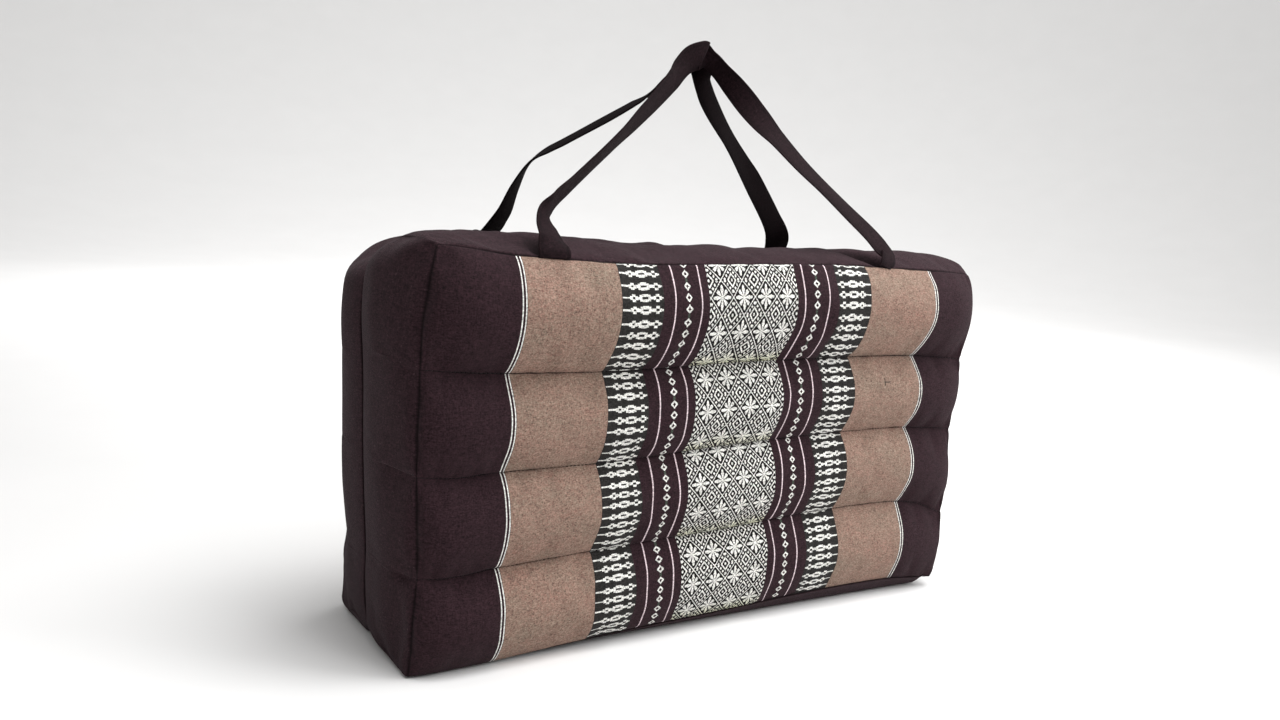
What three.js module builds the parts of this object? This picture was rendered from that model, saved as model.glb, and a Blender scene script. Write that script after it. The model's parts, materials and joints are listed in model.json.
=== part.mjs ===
// Folding meditation cushion: two boxed, channel-quilted pads joined by a cloth hinge,
// folded back to back and standing on the long edge, with its two carry straps drawn up to a peak.
// Millimetres. +X runs along the cushion, -Y out of its front patterned panel, +Z up.
// The origin is on the surface it stands on, midway between the pads and the ends.
import * as THREE from 'three';

// Each pad: its length seam to seam, and its top seam's height above the floor. The foot seam
// of the panel rides above the floor by the foot roll.
const LENGTH = 520;
const HEIGHT = 299;
const FOOT_ROLL = 8;
const DEPTH = 75;
const PAD_CLEARANCE = 0.6;
const TOP_CORNER_RADIUS = 22;
const FOOT_CORNER_RADIUS = 12;
const CHANNEL_SEAM_HEIGHTS = [76, 147, 218];
const SEAM_RECESS = 6;
const BACK_GROOVE = 3;
const CHANNEL_END_TAPER = 55;
// How far each channel stands out beyond the line between its seams, from the foot up.
const CHANNEL_CROWNS = [15.5, 16.5, 16, 21.5];

// The end walls belly out towards the fold, and more so the higher they are.
const END_BELLY_AT_FOOT = 5;
const END_BELLY_AT_SHOULDER = 25;
const SHOULDER_HEIGHT = 246;
const BELLY_ARC = 2.2;
const CREST_ARC = 2.6;

// How each pad's top wall is filled: its crest, and a slack dip along it.
const PADS = [
  { name: 'front_pad', quarterTurns: 0, crest: 13, dip: 5.5, dipX: -105, dipSpread: 75 },
  { name: 'rear_pad', quarterTurns: 2, crest: 4, dip: 1, dipX: 40, dipSpread: 90 },
];

// Facets.
const COLUMNS = 26;
const DEPTH_ROWS = 6;
const ROWS_PER_CHANNEL = 5;
const STRAP_STEPS = 64;

// The hinge: one strip of the plain cloth, tucked up into the groove between the pads.
const HINGE_LENGTH = 460;
const HINGE_THICKNESS = 1.5;
const SEAT_GAP = 0.35;

// The carry straps: doubled plain cloth, sewn into the outer top seams.
const STRAP_WIDTH = 25;
const STRAP_THICKNESS = 2;

// Stations along each strap, from its left foot over the peak to its right foot. x, y, z is
// the middle of the strap, and wx, wy, wz points across it from its outer to its inner edge.
const FRONT_STRAP = [
  { x: -168, y: -75.5, z: 298.9, wx: 1.0, wy: 0.0, wz: -0.05 },
  { x: -168.5, y: -73.0, z: 303.0, wx: 1.0, wy: 0.1, wz: -0.05 },
  { x: -169, y: -70.0, z: 308.0, wx: 0.9, wy: 0.4, wz: -0.1 },
  { x: -170, y: -65.5, z: 315.0, wx: 0.85, wy: 0.5, wz: -0.1 },
  { x: -169, y: -61.5, z: 324.0, wx: 0.7, wy: 0.7, wz: 0.0 },
  { x: -161, y: -55.5, z: 333.0, wx: 0.6, wy: 0.8, wz: -0.1 },
  { x: -140, y: -43.5, z: 348.0, wx: 0.6, wy: 0.8, wz: -0.1 },
  { x: -97, y: -27.5, z: 382.0, wx: 0.6, wy: 0.8, wz: -0.1 },
  { x: -72, y: -18.5, z: 403.0, wx: 0.7, wy: 0.7, wz: -0.1 },
  { x: -54, y: -13.0, z: 419.0, wx: 0.75, wy: 0.65, wz: -0.1 },
  { x: -36, y: -8.0, z: 437.0, wx: 0.8, wy: 0.6, wz: -0.2 },
  { x: -26, y: -5.5, z: 447.0, wx: 0.8, wy: 0.4, wz: -0.4 },
  { x: -15, y: -3.0, z: 456.0, wx: 0.5, wy: 0.3, wz: -0.8 },
  { x: -3, y: -1.5, z: 459.5, wx: -0.2, wy: 0.1, wz: -0.95 },
  { x: 7, y: -2.5, z: 457.5, wx: -0.7, wy: -0.1, wz: -0.7 },
  { x: 26, y: -11.5, z: 436.5, wx: -0.9, wy: -0.2, wz: -0.4 },
  { x: 60, y: -25.5, z: 401.5, wx: -0.85, wy: -0.35, wz: -0.35 },
  { x: 80, y: -37.0, z: 380.0, wx: -0.8, wy: -0.5, wz: -0.35 },
  { x: 99, y: -47.5, z: 362.0, wx: -0.8, wy: -0.55, wz: -0.3 },
  { x: 120, y: -57.5, z: 343.0, wx: -0.8, wy: -0.5, wz: -0.3 },
  { x: 138, y: -66.5, z: 325.0, wx: -0.9, wy: -0.4, wz: -0.2 },
  { x: 147, y: -71.0, z: 313.0, wx: -1.0, wy: -0.1, wz: -0.1 },
  { x: 150, y: -73.5, z: 306.5, wx: -1.0, wy: 0.0, wz: 0.0 },
  { x: 150.5, y: -75.5, z: 300.8, wx: -1.0, wy: 0.0, wz: 0.0 },
];
const REAR_STRAP = [
  { x: -154, y: 75.5, z: 300.5, wx: 1.0, wy: 0.0, wz: 0.0 },
  { x: -153.5, y: 73.0, z: 305.5, wx: 1.0, wy: 0.1, wz: 0.0 },
  { x: -151, y: 67.5, z: 313.0, wx: 0.9, wy: 0.5, wz: 0.0 },
  { x: -145.5, y: 61.5, z: 324.0, wx: 0.7, wy: 0.7, wz: -0.1 },
  { x: -139.5, y: 55.5, z: 344.0, wx: 0.6, wy: 0.8, wz: -0.1 },
  { x: -129.5, y: 50.5, z: 364.0, wx: 0.45, wy: 0.9, wz: 0.0 },
  { x: -117, y: 45.5, z: 374.5, wx: 0.4, wy: 0.9, wz: 0.2 },
  { x: -104.5, y: 41.5, z: 382.5, wx: 0.35, wy: 0.9, wz: 0.2 },
  { x: -69, y: 30.0, z: 406.0, wx: 0.4, wy: 0.9, wz: 0.25 },
  { x: -50, y: 23.0, z: 419.5, wx: 0.4, wy: 0.9, wz: 0.2 },
  { x: -27, y: 17.0, z: 436.5, wx: 0.6, wy: 0.7, wz: -0.2 },
  { x: -14, y: 13.0, z: 447.0, wx: 0.5, wy: 0.4, wz: -0.7 },
  { x: -5, y: 9.0, z: 452.5, wx: 0.0, wy: 0.1, wz: -1.0 },
  { x: 3, y: 8.5, z: 449.5, wx: -0.7, wy: -0.4, wz: -0.5 },
  { x: 8, y: 11.5, z: 441.0, wx: -0.85, wy: -0.5, wz: -0.2 },
  { x: 18, y: 15.5, z: 428.5, wx: -0.85, wy: -0.5, wz: -0.1 },
  { x: 50, y: 26.5, z: 399.5, wx: -0.8, wy: -0.55, wz: -0.25 },
  { x: 78, y: 36.5, z: 376.5, wx: -0.85, wy: -0.45, wz: -0.3 },
  { x: 99, y: 45.5, z: 361.0, wx: -0.9, wy: -0.35, wz: -0.3 },
  { x: 136, y: 60.5, z: 330.0, wx: -1.0, wy: 0.0, wz: -0.1 },
  { x: 150, y: 67.5, z: 315.0, wx: -1.0, wy: 0.0, wz: 0.0 },
  { x: 154.5, y: 72.5, z: 306.5, wx: -1.0, wy: 0.0, wz: 0.0 },
  { x: 155, y: 75.5, z: 301.0, wx: -1.0, wy: 0.0, wz: 0.0 },
];

// Finishes, one material for each mesh.
const PLAIN_CLOTH = { color: 0x3d2b30, roughness: 0.92, metalness: 0 };
const PATTERNED_CLOTH = { color: 0x6b5650, roughness: 0.9, metalness: 0 };

const HALF_LENGTH = LENGTH / 2;
const CHANNEL_EDGES = [0, ...CHANNEL_SEAM_HEIGHTS, HEIGHT];
const CHANNELS = CHANNEL_EDGES.length - 1;
const { lerp, clamp } = THREE.MathUtils;

// Spreads even steps so that they are closer together at both ends of 0 to 1.
function easeToEnds(fraction) {
  const cosine = 0.5 - 0.5 * Math.cos(Math.PI * fraction);
  return lerp(fraction, cosine, 0.5);
}

// Height of a row, so that a row lies on every channel seam.
function rowHeight(fraction) {
  const scaled = fraction * CHANNELS;
  const channel = Math.min(Math.floor(scaled), CHANNELS - 1);
  return lerp(CHANNEL_EDGES[channel], CHANNEL_EDGES[channel + 1], easeToEnds(scaled - channel));
}

// Which channel a height lies in, counted from the foot.
function channelAt(height) {
  const above = CHANNEL_EDGES.findIndex((edge) => edge > height);
  return (above < 0 ? CHANNELS : above) - 1;
}

// 0 at the two seams of a channel, 1 along its middle.
function channelProfile(height) {
  const channel = channelAt(height);
  const low = CHANNEL_EDGES[channel];
  const across = clamp((height - low) / (CHANNEL_EDGES[channel + 1] - low), 0, 1);
  return Math.sin(Math.PI * across) ** 0.65;
}

// 0 at the end seams, rising to 1 over the taper.
function endTaper(along) {
  const inward = clamp((HALF_LENGTH * (1 - Math.abs(along))) / CHANNEL_END_TAPER, 0, 1);
  return Math.sin((Math.PI / 2) * inward) ** 0.6;
}

// 0 at the bottom and top seams, 1 between the lowest and the highest channel seam.
function seamPull(height) {
  const first = CHANNEL_SEAM_HEIGHTS[0];
  const last = CHANNEL_SEAM_HEIGHTS[CHANNEL_SEAM_HEIGHTS.length - 1];
  return Math.min(1, height / first, (HEIGHT - height) / (HEIGHT - last));
}

function endBelly(height) {
  return lerp(END_BELLY_AT_FOOT, END_BELLY_AT_SHOULDER, Math.min(1, height / SHOULDER_HEIGHT));
}

// How far the top wall stands above the panel's height, at x and a fraction of the depth.
function topRise(pad, x, deep) {
  const slack = pad.dip * Math.exp(-(((x - pad.dipX) / pad.dipSpread) ** 2));
  return pad.crest * Math.sin(CREST_ARC * deep) - slack;
}

// Turns the square corners of the outline into round ones.
function roundOutline(x, z, halfLength, top) {
  const upper = z > top / 2;
  const radius = upper ? TOP_CORNER_RADIUS : FOOT_CORNER_RADIUS;
  const centreX = halfLength - radius;
  const centreZ = upper ? top - radius : radius;
  const pastX = Math.abs(x) - centreX;
  const pastZ = upper ? z - centreZ : centreZ - z;
  if (pastX <= 0 || pastZ <= 0) return { x, z };
  const shrink = Math.max(pastX, pastZ) / Math.hypot(pastX, pastZ);
  const outward = upper ? pastZ : -pastZ;
  return { x: Math.sign(x) * (centreX + pastX * shrink), z: centreZ + outward * shrink };
}

// The bevel along the inner bottom edge of each pad, which leaves the hinge its groove.
const BEVEL_DEPTH = DEPTH / DEPTH_ROWS;
const BEVEL_RISE = rowHeight(1 / (CHANNELS * ROWS_PER_CHANNEL));

// Depth of a point below the panel's seam plane, 0 at the patterned face.
function padDepth(along, deep, height) {
  if (deep === 0) {
    const crown = CHANNEL_CROWNS[channelAt(height)] * channelProfile(height);
    return (SEAM_RECESS * seamPull(height) - crown) * endTaper(along);
  }
  const quilted = deep === 1 ? BACK_GROOVE * (1 - channelProfile(height)) * seamPull(height) : 0;
  return DEPTH * deep - quilted * endTaper(along);
}

// Moves a point of the unit box (-1 to 1, 0 to 1, 0 to 1) onto the filled pad.
function padPoint(pad, across, deep, up) {
  const along = 2 * easeToEnds((across + 1) / 2) - 1;
  const height = rowHeight(up);
  const halfLength = HALF_LENGTH + endBelly(height) * Math.sin(BELLY_ARC * deep);
  const top = HEIGHT + topRise(pad, along * halfLength, deep);
  const rounded = roundOutline(along * halfLength, (height * top) / HEIGHT, halfLength, top);
  const onBevel = deep === 1 && up === 0;
  const y = onBevel ? DEPTH - BEVEL_DEPTH / 2 : padDepth(along, deep, height);
  const rolled = deep === 0 ? FOOT_ROLL * Math.max(0, 1 - height / CHANNEL_SEAM_HEIGHTS[0]) : 0;
  const z = onBevel ? BEVEL_RISE / 2 + rounded.z : rounded.z + rolled;
  return new THREE.Vector3(rounded.x, y - DEPTH - PAD_CLEARANCE / 2, z);
}

// Runs every vertex of a geometry through a function of its position.
function reshape(geometry, place) {
  const position = geometry.attributes.position;
  const point = new THREE.Vector3();
  for (let i = 0; i < position.count; i += 1) {
    point.fromBufferAttribute(position, i);
    const moved = place(point);
    position.setXYZ(i, moved.x, moved.y, moved.z);
  }
  geometry.deleteAttribute('uv');
  geometry.computeVertexNormals();
  return geometry;
}

function makePad(pad) {
  const box = new THREE.BoxGeometry(2, 1, 1, COLUMNS, DEPTH_ROWS, CHANNELS * ROWS_PER_CHANNEL);
  const tidy = (value) => Math.round(value * 1e6) / 1e6;
  const geometry = reshape(box, (p) => padPoint(pad, tidy(p.x), tidy(p.y + 0.5), tidy(p.z + 0.5)));
  const mesh = new THREE.Mesh(geometry, new THREE.MeshStandardMaterial(PATTERNED_CLOTH));
  mesh.name = pad.name;
  mesh.rotation.z = (pad.quarterTurns * Math.PI) / 2;
  return mesh;
}

// An inverted V of cloth that follows the two bevels a seat gap below them.
function makeHinge() {
  const slope = BEVEL_RISE / BEVEL_DEPTH;
  const rise = Math.hypot(1, slope);
  const apex = BEVEL_RISE + (slope * PAD_CLEARANCE) / 2 - SEAT_GAP * rise;
  const drop = HINGE_THICKNESS * rise;
  const reach = (apex - drop) / slope;
  const section = new THREE.Shape();
  section.moveTo(0, apex);
  section.lineTo(-reach, apex - slope * reach);
  section.lineTo(-reach, 0);
  section.lineTo(0, apex - drop);
  section.lineTo(reach, 0);
  section.lineTo(reach, apex - slope * reach);
  const geometry = new THREE.ExtrudeGeometry(section, { depth: HINGE_LENGTH, bevelEnabled: false });
  geometry.translate(0, 0, -HINGE_LENGTH / 2);
  const mesh = new THREE.Mesh(geometry, new THREE.MeshStandardMaterial(PLAIN_CLOTH));
  mesh.name = 'hinge_strip';
  mesh.rotation.set(Math.PI / 2, Math.PI / 2, 0);
  return mesh;
}

// A flat strap that follows its stations, its width turned as they say.
function makeStrap(name, stations) {
  const middle = new THREE.CatmullRomCurve3(
    stations.map((s) => new THREE.Vector3(s.x, s.y, s.z)), false, 'centripetal');
  const widthAt = (fraction) => {
    const scaled = fraction * (stations.length - 1);
    const index = Math.min(Math.floor(scaled), stations.length - 2);
    const [from, to] = [stations[index], stations[index + 1]];
    const start = new THREE.Vector3(from.wx, from.wy, from.wz).normalize();
    const end = new THREE.Vector3(to.wx, to.wy, to.wz).normalize();
    return start.lerp(end, scaled - index);
  };
  const box = new THREE.BoxGeometry(1, STRAP_WIDTH, STRAP_THICKNESS, STRAP_STEPS, 1, 1);
  const geometry = reshape(box, (p) => {
    const fraction = clamp(p.x + 0.5, 0, 1);
    const tangent = middle.getTangent(fraction);
    const width = widthAt(fraction);
    width.addScaledVector(tangent, -width.dot(tangent)).normalize();
    const face = tangent.clone().cross(width);
    return middle.getPoint(fraction).addScaledVector(width, p.y).addScaledVector(face, p.z);
  });
  const mesh = new THREE.Mesh(geometry, new THREE.MeshStandardMaterial(PLAIN_CLOTH));
  mesh.name = name;
  return mesh;
}

const cushion = new THREE.Group();
cushion.add(...PADS.map(makePad));
cushion.add(makeHinge());
cushion.add(makeStrap('front_handle', FRONT_STRAP));
cushion.add(makeStrap('rear_handle', REAR_STRAP));

export default cushion;
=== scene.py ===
"""A folding meditation cushion, folded back to back and standing on its long edge.

Two boxed, channel-quilted pads, the cloth hinge between them and two carry straps drawn up to a
peak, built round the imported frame. Metres; +X runs along the cushion, -Y out of the front panel
and +Z up. The weave is worked out in millimetres of cloth.
"""

import functools
import json
import math
import operator
from bisect import bisect_left, bisect_right
from itertools import accumulate

import bmesh
import bpy
from bpy.props import FloatProperty, FloatVectorProperty, IntProperty, PointerProperty
from mathutils import Matrix, Vector, noise
from mathutils.bvhtree import BVHTree

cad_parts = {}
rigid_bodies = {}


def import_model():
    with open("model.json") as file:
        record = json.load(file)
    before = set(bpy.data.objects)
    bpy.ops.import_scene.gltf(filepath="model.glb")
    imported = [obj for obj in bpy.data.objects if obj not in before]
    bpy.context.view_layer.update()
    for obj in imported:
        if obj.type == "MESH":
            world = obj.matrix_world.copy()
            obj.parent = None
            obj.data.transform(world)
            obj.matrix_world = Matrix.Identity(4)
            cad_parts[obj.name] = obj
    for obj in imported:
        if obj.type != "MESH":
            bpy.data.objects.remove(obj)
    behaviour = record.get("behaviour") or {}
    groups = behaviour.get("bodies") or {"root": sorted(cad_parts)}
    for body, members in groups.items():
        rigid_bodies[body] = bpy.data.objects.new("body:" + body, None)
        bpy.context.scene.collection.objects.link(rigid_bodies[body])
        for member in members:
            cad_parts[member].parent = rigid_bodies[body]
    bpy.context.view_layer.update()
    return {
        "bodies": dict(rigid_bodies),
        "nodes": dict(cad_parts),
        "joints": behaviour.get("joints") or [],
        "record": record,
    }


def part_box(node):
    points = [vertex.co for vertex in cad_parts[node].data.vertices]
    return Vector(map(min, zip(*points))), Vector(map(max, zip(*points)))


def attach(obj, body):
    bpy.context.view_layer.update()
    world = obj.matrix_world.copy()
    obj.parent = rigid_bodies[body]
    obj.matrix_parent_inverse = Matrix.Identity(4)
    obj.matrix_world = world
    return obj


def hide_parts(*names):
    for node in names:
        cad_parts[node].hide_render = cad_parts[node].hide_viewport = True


bl_info = {
    "name": "Folding meditation cushion",
    "version": (1, 0, 0),
    "blender": (4, 5, 0),
    "location": "3D View > Sidebar > Cushion",
    "description": "Builds a channel-quilted folding cushion round its packed frame",
    "category": "Add Mesh",
}

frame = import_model()
MM = 0.001

# The panel: how high its sewn lines run, from the foot seam to the top seam, at stations along x.
LINE_STATIONS = (-262, -235, -200, -100, 0, 100, 190, 225, 262)
SEWN_LINES = (
    (1.5, 1, 2, 7, 10, 14, 14.5, 12, 8),
    (71, 69.5, 72, 76, 80, 86, 87, 83, 70),
    (142.5, 140.5, 142, 143.5, 150, 154.5, 156, 154.5, 152),
    (216, 214, 212.5, 212.4, 217.6, 220.2, 221.3, 220, 218),
    (300.5, 298.8, 295.3, 293, 296.5, 299.5, 298.5, 298, 296),
)
# How far each channel stands out beyond its sewn lines, at the left and at the right end.
CROWNS = ((17, 11.5), (16, 16), (15, 17), (20.5, 21))
CROWN_POWER = 0.65
# How deep the lines are sewn in, at the foot seam and at the rest, and the share of that depth at
# the left end and past the ease from it.
FOOT_RECESS = 4.0
SEAM_RECESS = 5.5
RECESS_EASE = (0.05, 1.0)
RECESS_EASE_LENGTH = 0.4
# How far the filling bows the top seam out, from no bow at a corner to all of it past the ease.
TOP_BOW = 6.5
BOW_EASE = 60
# Half the panel's length, to its end seams and to the corners of its top seam.
PANEL_HALF = 260
CORNER = 262
# How the crown of a channel dies away towards the end seams.
END_TAPER = 38
END_POWER = 0.5
# Where each channel's cloth begins and ends on the weave: its lower and its upper edge.
WEAVE_SPANS = ((382, 290), (286, 192.5), (185, 99), (94.7, 0.7))

# The end seams of the panel: how far they stand from the middle at each height.
NEAR_END = ((0, 263), (16, 262), (45, 261.5), (73, 259.7), (118, 262), (169, 264), (215, 264),
            (245, 264), (274, 260.5), (298, 257))
FAR_END = ((0, 250), (16, 255), (45, 258.5), (75, 257), (103, 259), (155, 256), (190, 260),
           (220, 260.5), (251, 262), (280, 262), (298, 259))

# The boxing: how the walls are filled. The end walls swell towards the fold, more so higher up.
# Lengths are in millimetres; the ease of the corners and the lump's reach are shares of the depth.
END_SWELL = ((0, 6), (35, 9), (65, 12.5), (145, 14.5), (190, 15.5), (240, 19.5), (270, 22))
SWELL_ARC = 2.2
CREST_ARC = 2.6
FOOT_ROLL_DEPTH = 0.2
BACK_GROOVE = 3
BACK_WAVE = 1.3
BACK_WAVE_LENGTH = 18
CORNER_EASE = 0.6
LUMP_DEPTH = 0.22
HINGE_BEVEL = (12.5, 11.2)
SEAM_TUCK = 1.1
ALLOWANCE_RIDGE = 0.7

# How the cloth of a pad settles: frames, the farthest that a point may move in millimetres, and
# the cloth itself, which is a little larger than the form.
SETTLE_FRAMES = 12
SETTLE_LIMIT = 2.2
CLOTH = {
    "quality": 4,
    "mass": 0.2,
    "tension_stiffness": 12,
    "compression_stiffness": 6,
    "shear_stiffness": 4,
    "bending_stiffness": 0.4,
    "shrink_min": -0.010,
    "use_pressure": True,
    "uniform_pressure_force": 0.8,
}

# The quilting stitches: how many to a line, and the length and thickness of one in millimetres.
STITCHES_PER_LINE = 160
STITCH_SIZE = (2.7, 0.9)

# The mesh of a pad.
COLUMNS = 120
ROWS_PER_CHANNEL = 16
ROWS = len(CROWNS) * ROWS_PER_CHANNEL
DEPTH_ROWS = 16
COLUMN_CROWDING = 0.75

# The two pads: how far the top wall rises above the top seam along x, the rounding of the upper
# and lower corners at the fold, and a local lump in the filling.
PADS = {
    "front": {
        "node": "front_pad",
        "turn": 0,
        "ends": (NEAR_END, FAR_END),
        "crest": ((-262, 10), (-220, 11), (-190, 13.3), (-150, 14.3), (-112, 13), (-77, 10.5),
                  (-20, 11), (53, 9), (144, 12), (204, 14.5), (262, 15)),
        "top_corners": ((62, 30), (34, 17)),
        "top_seam_corners": ((4, 3), (4, 3)),
        "foot_seam_corners": ((4, 3), (15, 19)),
        "foot_corners": ((10, 20), (20, 27)),
        "lump": None,
    },
    "rear": {
        "node": "rear_pad",
        "turn": 180,
        "ends": (NEAR_END, NEAR_END),
        "crest": ((-262, 3), (-100, 4), (40, 5), (140, 4), (200, 1), (262, -3)),
        "top_corners": ((42, 22), (78, 24)),
        "top_seam_corners": ((4, 3), (44, 20)),
        "foot_seam_corners": ((4, 3), (4, 3)),
        "foot_corners": ((10, 34), (10, 34)),
        "lump": (5, 14, 9),
    },
}

HINGE_THICKNESS = 1.2 * MM

# Stations along each strap, from its left foot over the peak to its right foot: the middle of the
# strap, the way across it from its outer to its inner edge, and its share of the full width where
# the cloth is bunched.
FRONT_STRAP = (
    ((-171.5, -81.8, 294), (1, 0, -0.05)),
    ((-171.5, -81.8, 298.9), (1, 0, -0.05)),
    ((-171.5, -79, 303), (1, 0.1, -0.05)),
    ((-171.5, -75, 308), (0.9, 0.4, -0.1)),
    ((-171.5, -68.5, 315), (0.85, 0.5, -0.1)),
    ((-169, -61.5, 324), (0.7, 0.7, 0)),
    ((-161, -55.5, 333), (0.6, 0.8, -0.1)),
    ((-140, -43.5, 348), (0.6, 0.8, -0.1)),
    ((-97, -27.5, 382), (0.6, 0.8, -0.1)),
    ((-72, -18.5, 403), (0.7, 0.7, -0.1)),
    ((-54, -13, 419), (0.75, 0.65, -0.1)),
    ((-36, -8, 437), (0.8, 0.6, -0.2)),
    ((-28, -5.8, 447), (0.78, 0.5, -0.36)),
    ((-20, -5, 455), (0.62, 0.5, -0.6), 1.05),
    ((-9, -4.6, 460), (-0.15, 0.35, -0.88), 0.97),
    ((-4.4, -3.8, 460.6), (-0.36, 0.22, -0.9), 0.97),
    ((-3.4, -2.8, 460.4), (-0.36, 0.2, -0.9), 0.95),
    ((-4.4, -1.8, 460.6), (-0.36, 0.2, -0.9), 0.8),
    ((-6.4, -1.4, 460.9), (-0.36, 0.2, -0.9), 0.74),
    ((-7.2, -0.4, 461), (-0.36, 0.2, -0.9), 0.74),
    ((-6.2, 0.6, 460.8), (-0.36, 0.2, -0.9), 0.78),
    ((-2, 1.2, 460.3), (-0.36, 0.35, -0.85), 0.92),
    ((5, 0.2, 458.6), (-0.1, 0.8, -0.6), 0.7),
    ((13.5, -3.8, 450.6), (-0.15, 0.8, -0.58), 0.7),
    ((25, -10.5, 437.6), (-0.5, 0.5, -0.6), 0.76),
    ((41.5, -17.5, 419.7), (-0.75, 0.05, -0.55), 0.88),
    ((60, -25.5, 401.5), (-0.85, -0.35, -0.35)),
    ((80, -37, 380), (-0.8, -0.5, -0.35)),
    ((99, -47.5, 362), (-0.8, -0.55, -0.3)),
    ((120, -57.5, 343), (-0.8, -0.5, -0.3)),
    ((138.5, -66.5, 326.5), (-0.85, -0.42, -0.3), 0.94),
    ((148, -72, 316), (-0.88, -0.36, -0.3), 0.92),
    ((153, -76.5, 309.5), (-0.92, -0.36, -0.12), 0.86),
    ((147.5, -81, 303), (-0.96, -0.26, 0), 0.66),
    ((146, -81.6, 299), (-1, -0.1, 0), 0.62),
)
REAR_STRAP = (
    ((-154, 81.6, 295), (1, 0, 0)),
    ((-154, 81.6, 300.5), (1, 0, 0)),
    ((-150, 77, 305.5), (0.9, 0.45, 0)),
    ((-148, 69, 313), (0.85, 0.53, 0)),
    ((-144.5, 61.5, 324), (0.75, 0.66, -0.1)),
    ((-139, 55.5, 344), (0.62, 0.78, -0.1)),
    ((-129.5, 50.5, 364), (0.45, 0.9, 0)),
    ((-117, 45.5, 374.5), (0.4, 0.9, 0.2)),
    ((-104.5, 41.5, 382.5), (0.35, 0.9, 0.2)),
    ((-69, 30, 406), (0.4, 0.9, 0.25)),
    ((-50, 23, 419.5), (0.4, 0.9, 0.2)),
    ((-27, 17, 436.5), (0.6, 0.7, -0.2)),
    ((-14, 13, 450), (0.4, 0.8, -0.3), 0.8),
    ((-5, 10, 456), (0.1, 0.85, -0.45), 0.7),
    ((2, 9.5, 453), (-0.5, 0.5, -0.5), 0.7),
    ((7, 11.5, 441), (-0.75, -0.1, -0.6), 0.75),
    ((17, 15.5, 428.5), (-0.85, -0.3, -0.3), 0.85),
    ((50, 26.5, 399.5), (-0.8, -0.55, -0.25)),
    ((78, 36.5, 376.5), (-0.85, -0.45, -0.3)),
    ((99, 45.5, 361), (-0.9, -0.35, -0.3)),
    ((134, 60.5, 331), (-0.95, -0.3, -0.1)),
    ((149, 69, 315), (-1, 0, 0)),
    ((154.5, 76.5, 306.5), (-1, 0, 0)),
    ((155.5, 81.6, 301), (-1, 0, 0)),
    ((155.5, 81.6, 295), (-1, 0, 0)),
)

# The shade of each strap beside the boxing, from the light that reaches it.
STRAPS = (("front", FRONT_STRAP, 0.46), ("rear", REAR_STRAP, 0.14))

FLOOR_RADIUS = 4.0
WORLD_STRENGTH = 0.50
# Each softbox: its name, its place, where it is aimed, its size and its energy.
SOFTBOXES = (
    ("overhead", (0.25, -0.28, 1.7), (0.0, 0.0, 0.2), 1.3, 37.0),
    ("key", (1.15, -0.85, 0.80), (0.0, 0.0, 0.2), 0.8, 17.0),
    ("backdrop", (1.0, 1.6, 2.6), (2.6, 4.1, 0.8), 2.0, 150.0),
)


# --- what a user would change ---

def length_property(name, description, default):
    return FloatProperty(name=name, description=description, default=default, min=0.0,
                         subtype="DISTANCE", unit="LENGTH", precision=4)


def angle_property(name, description, default):
    return FloatProperty(name=name, description=description, default=default, subtype="ANGLE",
                         unit="ROTATION")


def colour_property(name, description, default):
    return FloatVectorProperty(name=name, description=description, default=default, size=3,
                               subtype="COLOR", min=0.0, max=1.0)


class CushionSizes(bpy.types.PropertyGroup):
    """The cut sizes of a pad."""

    wall_depth: length_property("Wall depth", "Width of the boxing strip of each pad", 0.075)
    fold_gap: length_property("Fold gap", "Room from the fold's middle plane to a pad",
                              -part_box("front_pad")[1].y)


class StrapSizes(bpy.types.PropertyGroup):
    """The cut sizes of a strap."""

    width: length_property("Strap width", "Width of the sewn strap", 0.025)
    thickness: length_property("Strap thickness", "Thickness of the folded strap", 0.002)
    steps: IntProperty(name="Strap steps", description="Cuts along a strap", default=360, min=20)


class ClothColours(bpy.types.PropertyGroup):
    """The dyed yarns."""

    brown: colour_property("Brown", "Ground of the plain cloth", (0.0172, 0.0081, 0.0104))
    black: colour_property("Black", "Ground of the brocade", (0.0065, 0.0055, 0.0055))
    charcoal: colour_property("Charcoal", "Ground of the hooked bands", (0.0150, 0.0142, 0.0135))
    tan: colour_property("Tan", "Wide plain bands", (0.254, 0.170, 0.133))
    cream: colour_property("Cream", "Figures of the brocade", (0.655, 0.650, 0.617))
    rose: colour_property("Rose", "Thin lines beside the diamond chain", (0.640, 0.520, 0.550))


class StageView(bpy.types.PropertyGroup):
    """Where the camera stands and how it is turned."""

    place: FloatVectorProperty(name="Place", description="Camera position", size=3,
                               default=(-0.5220, -0.7440, 0.3273), subtype="TRANSLATION",
                               unit="LENGTH")
    azimuth: angle_property("Azimuth", "Turn of the view towards +X", 0.57238)
    elevation: angle_property("Elevation", "How far the camera looks down", 0.13291)
    roll: angle_property("Roll", "Tilt of the camera", 0.07250)
    lens: FloatProperty(name="Lens", description="Focal length in millimetres", default=30.175)


# --- small helpers ---

def clamp(value, low=0.0, high=1.0):
    return max(low, min(high, value))


def blend(start, end, share):
    return start + (end - start) * share


def smooth_step(low, high, value):
    share = clamp((value - low) / (high - low))
    return share * share * (3 - 2 * share)


def ease(share):
    """A share from 0 to 1 that starts and ends slowly."""
    return 0.5 - 0.5 * math.cos(math.pi * share)


def hill(distance, spread):
    """1 at no distance, falling off over the spread."""
    return math.exp(-((distance / spread) ** 2))


def ripple(x, y, z):
    """Smooth noise, about -1 to 1."""
    return noise.noise(Vector((x, y, z)))


def slope_at(stations, index):
    """The slope of a smooth curve at one of its stations."""
    before = stations[max(index - 1, 0)]
    after = stations[min(index + 1, len(stations) - 1)]
    return (after[1] - before[1]) / (after[0] - before[0])


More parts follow.
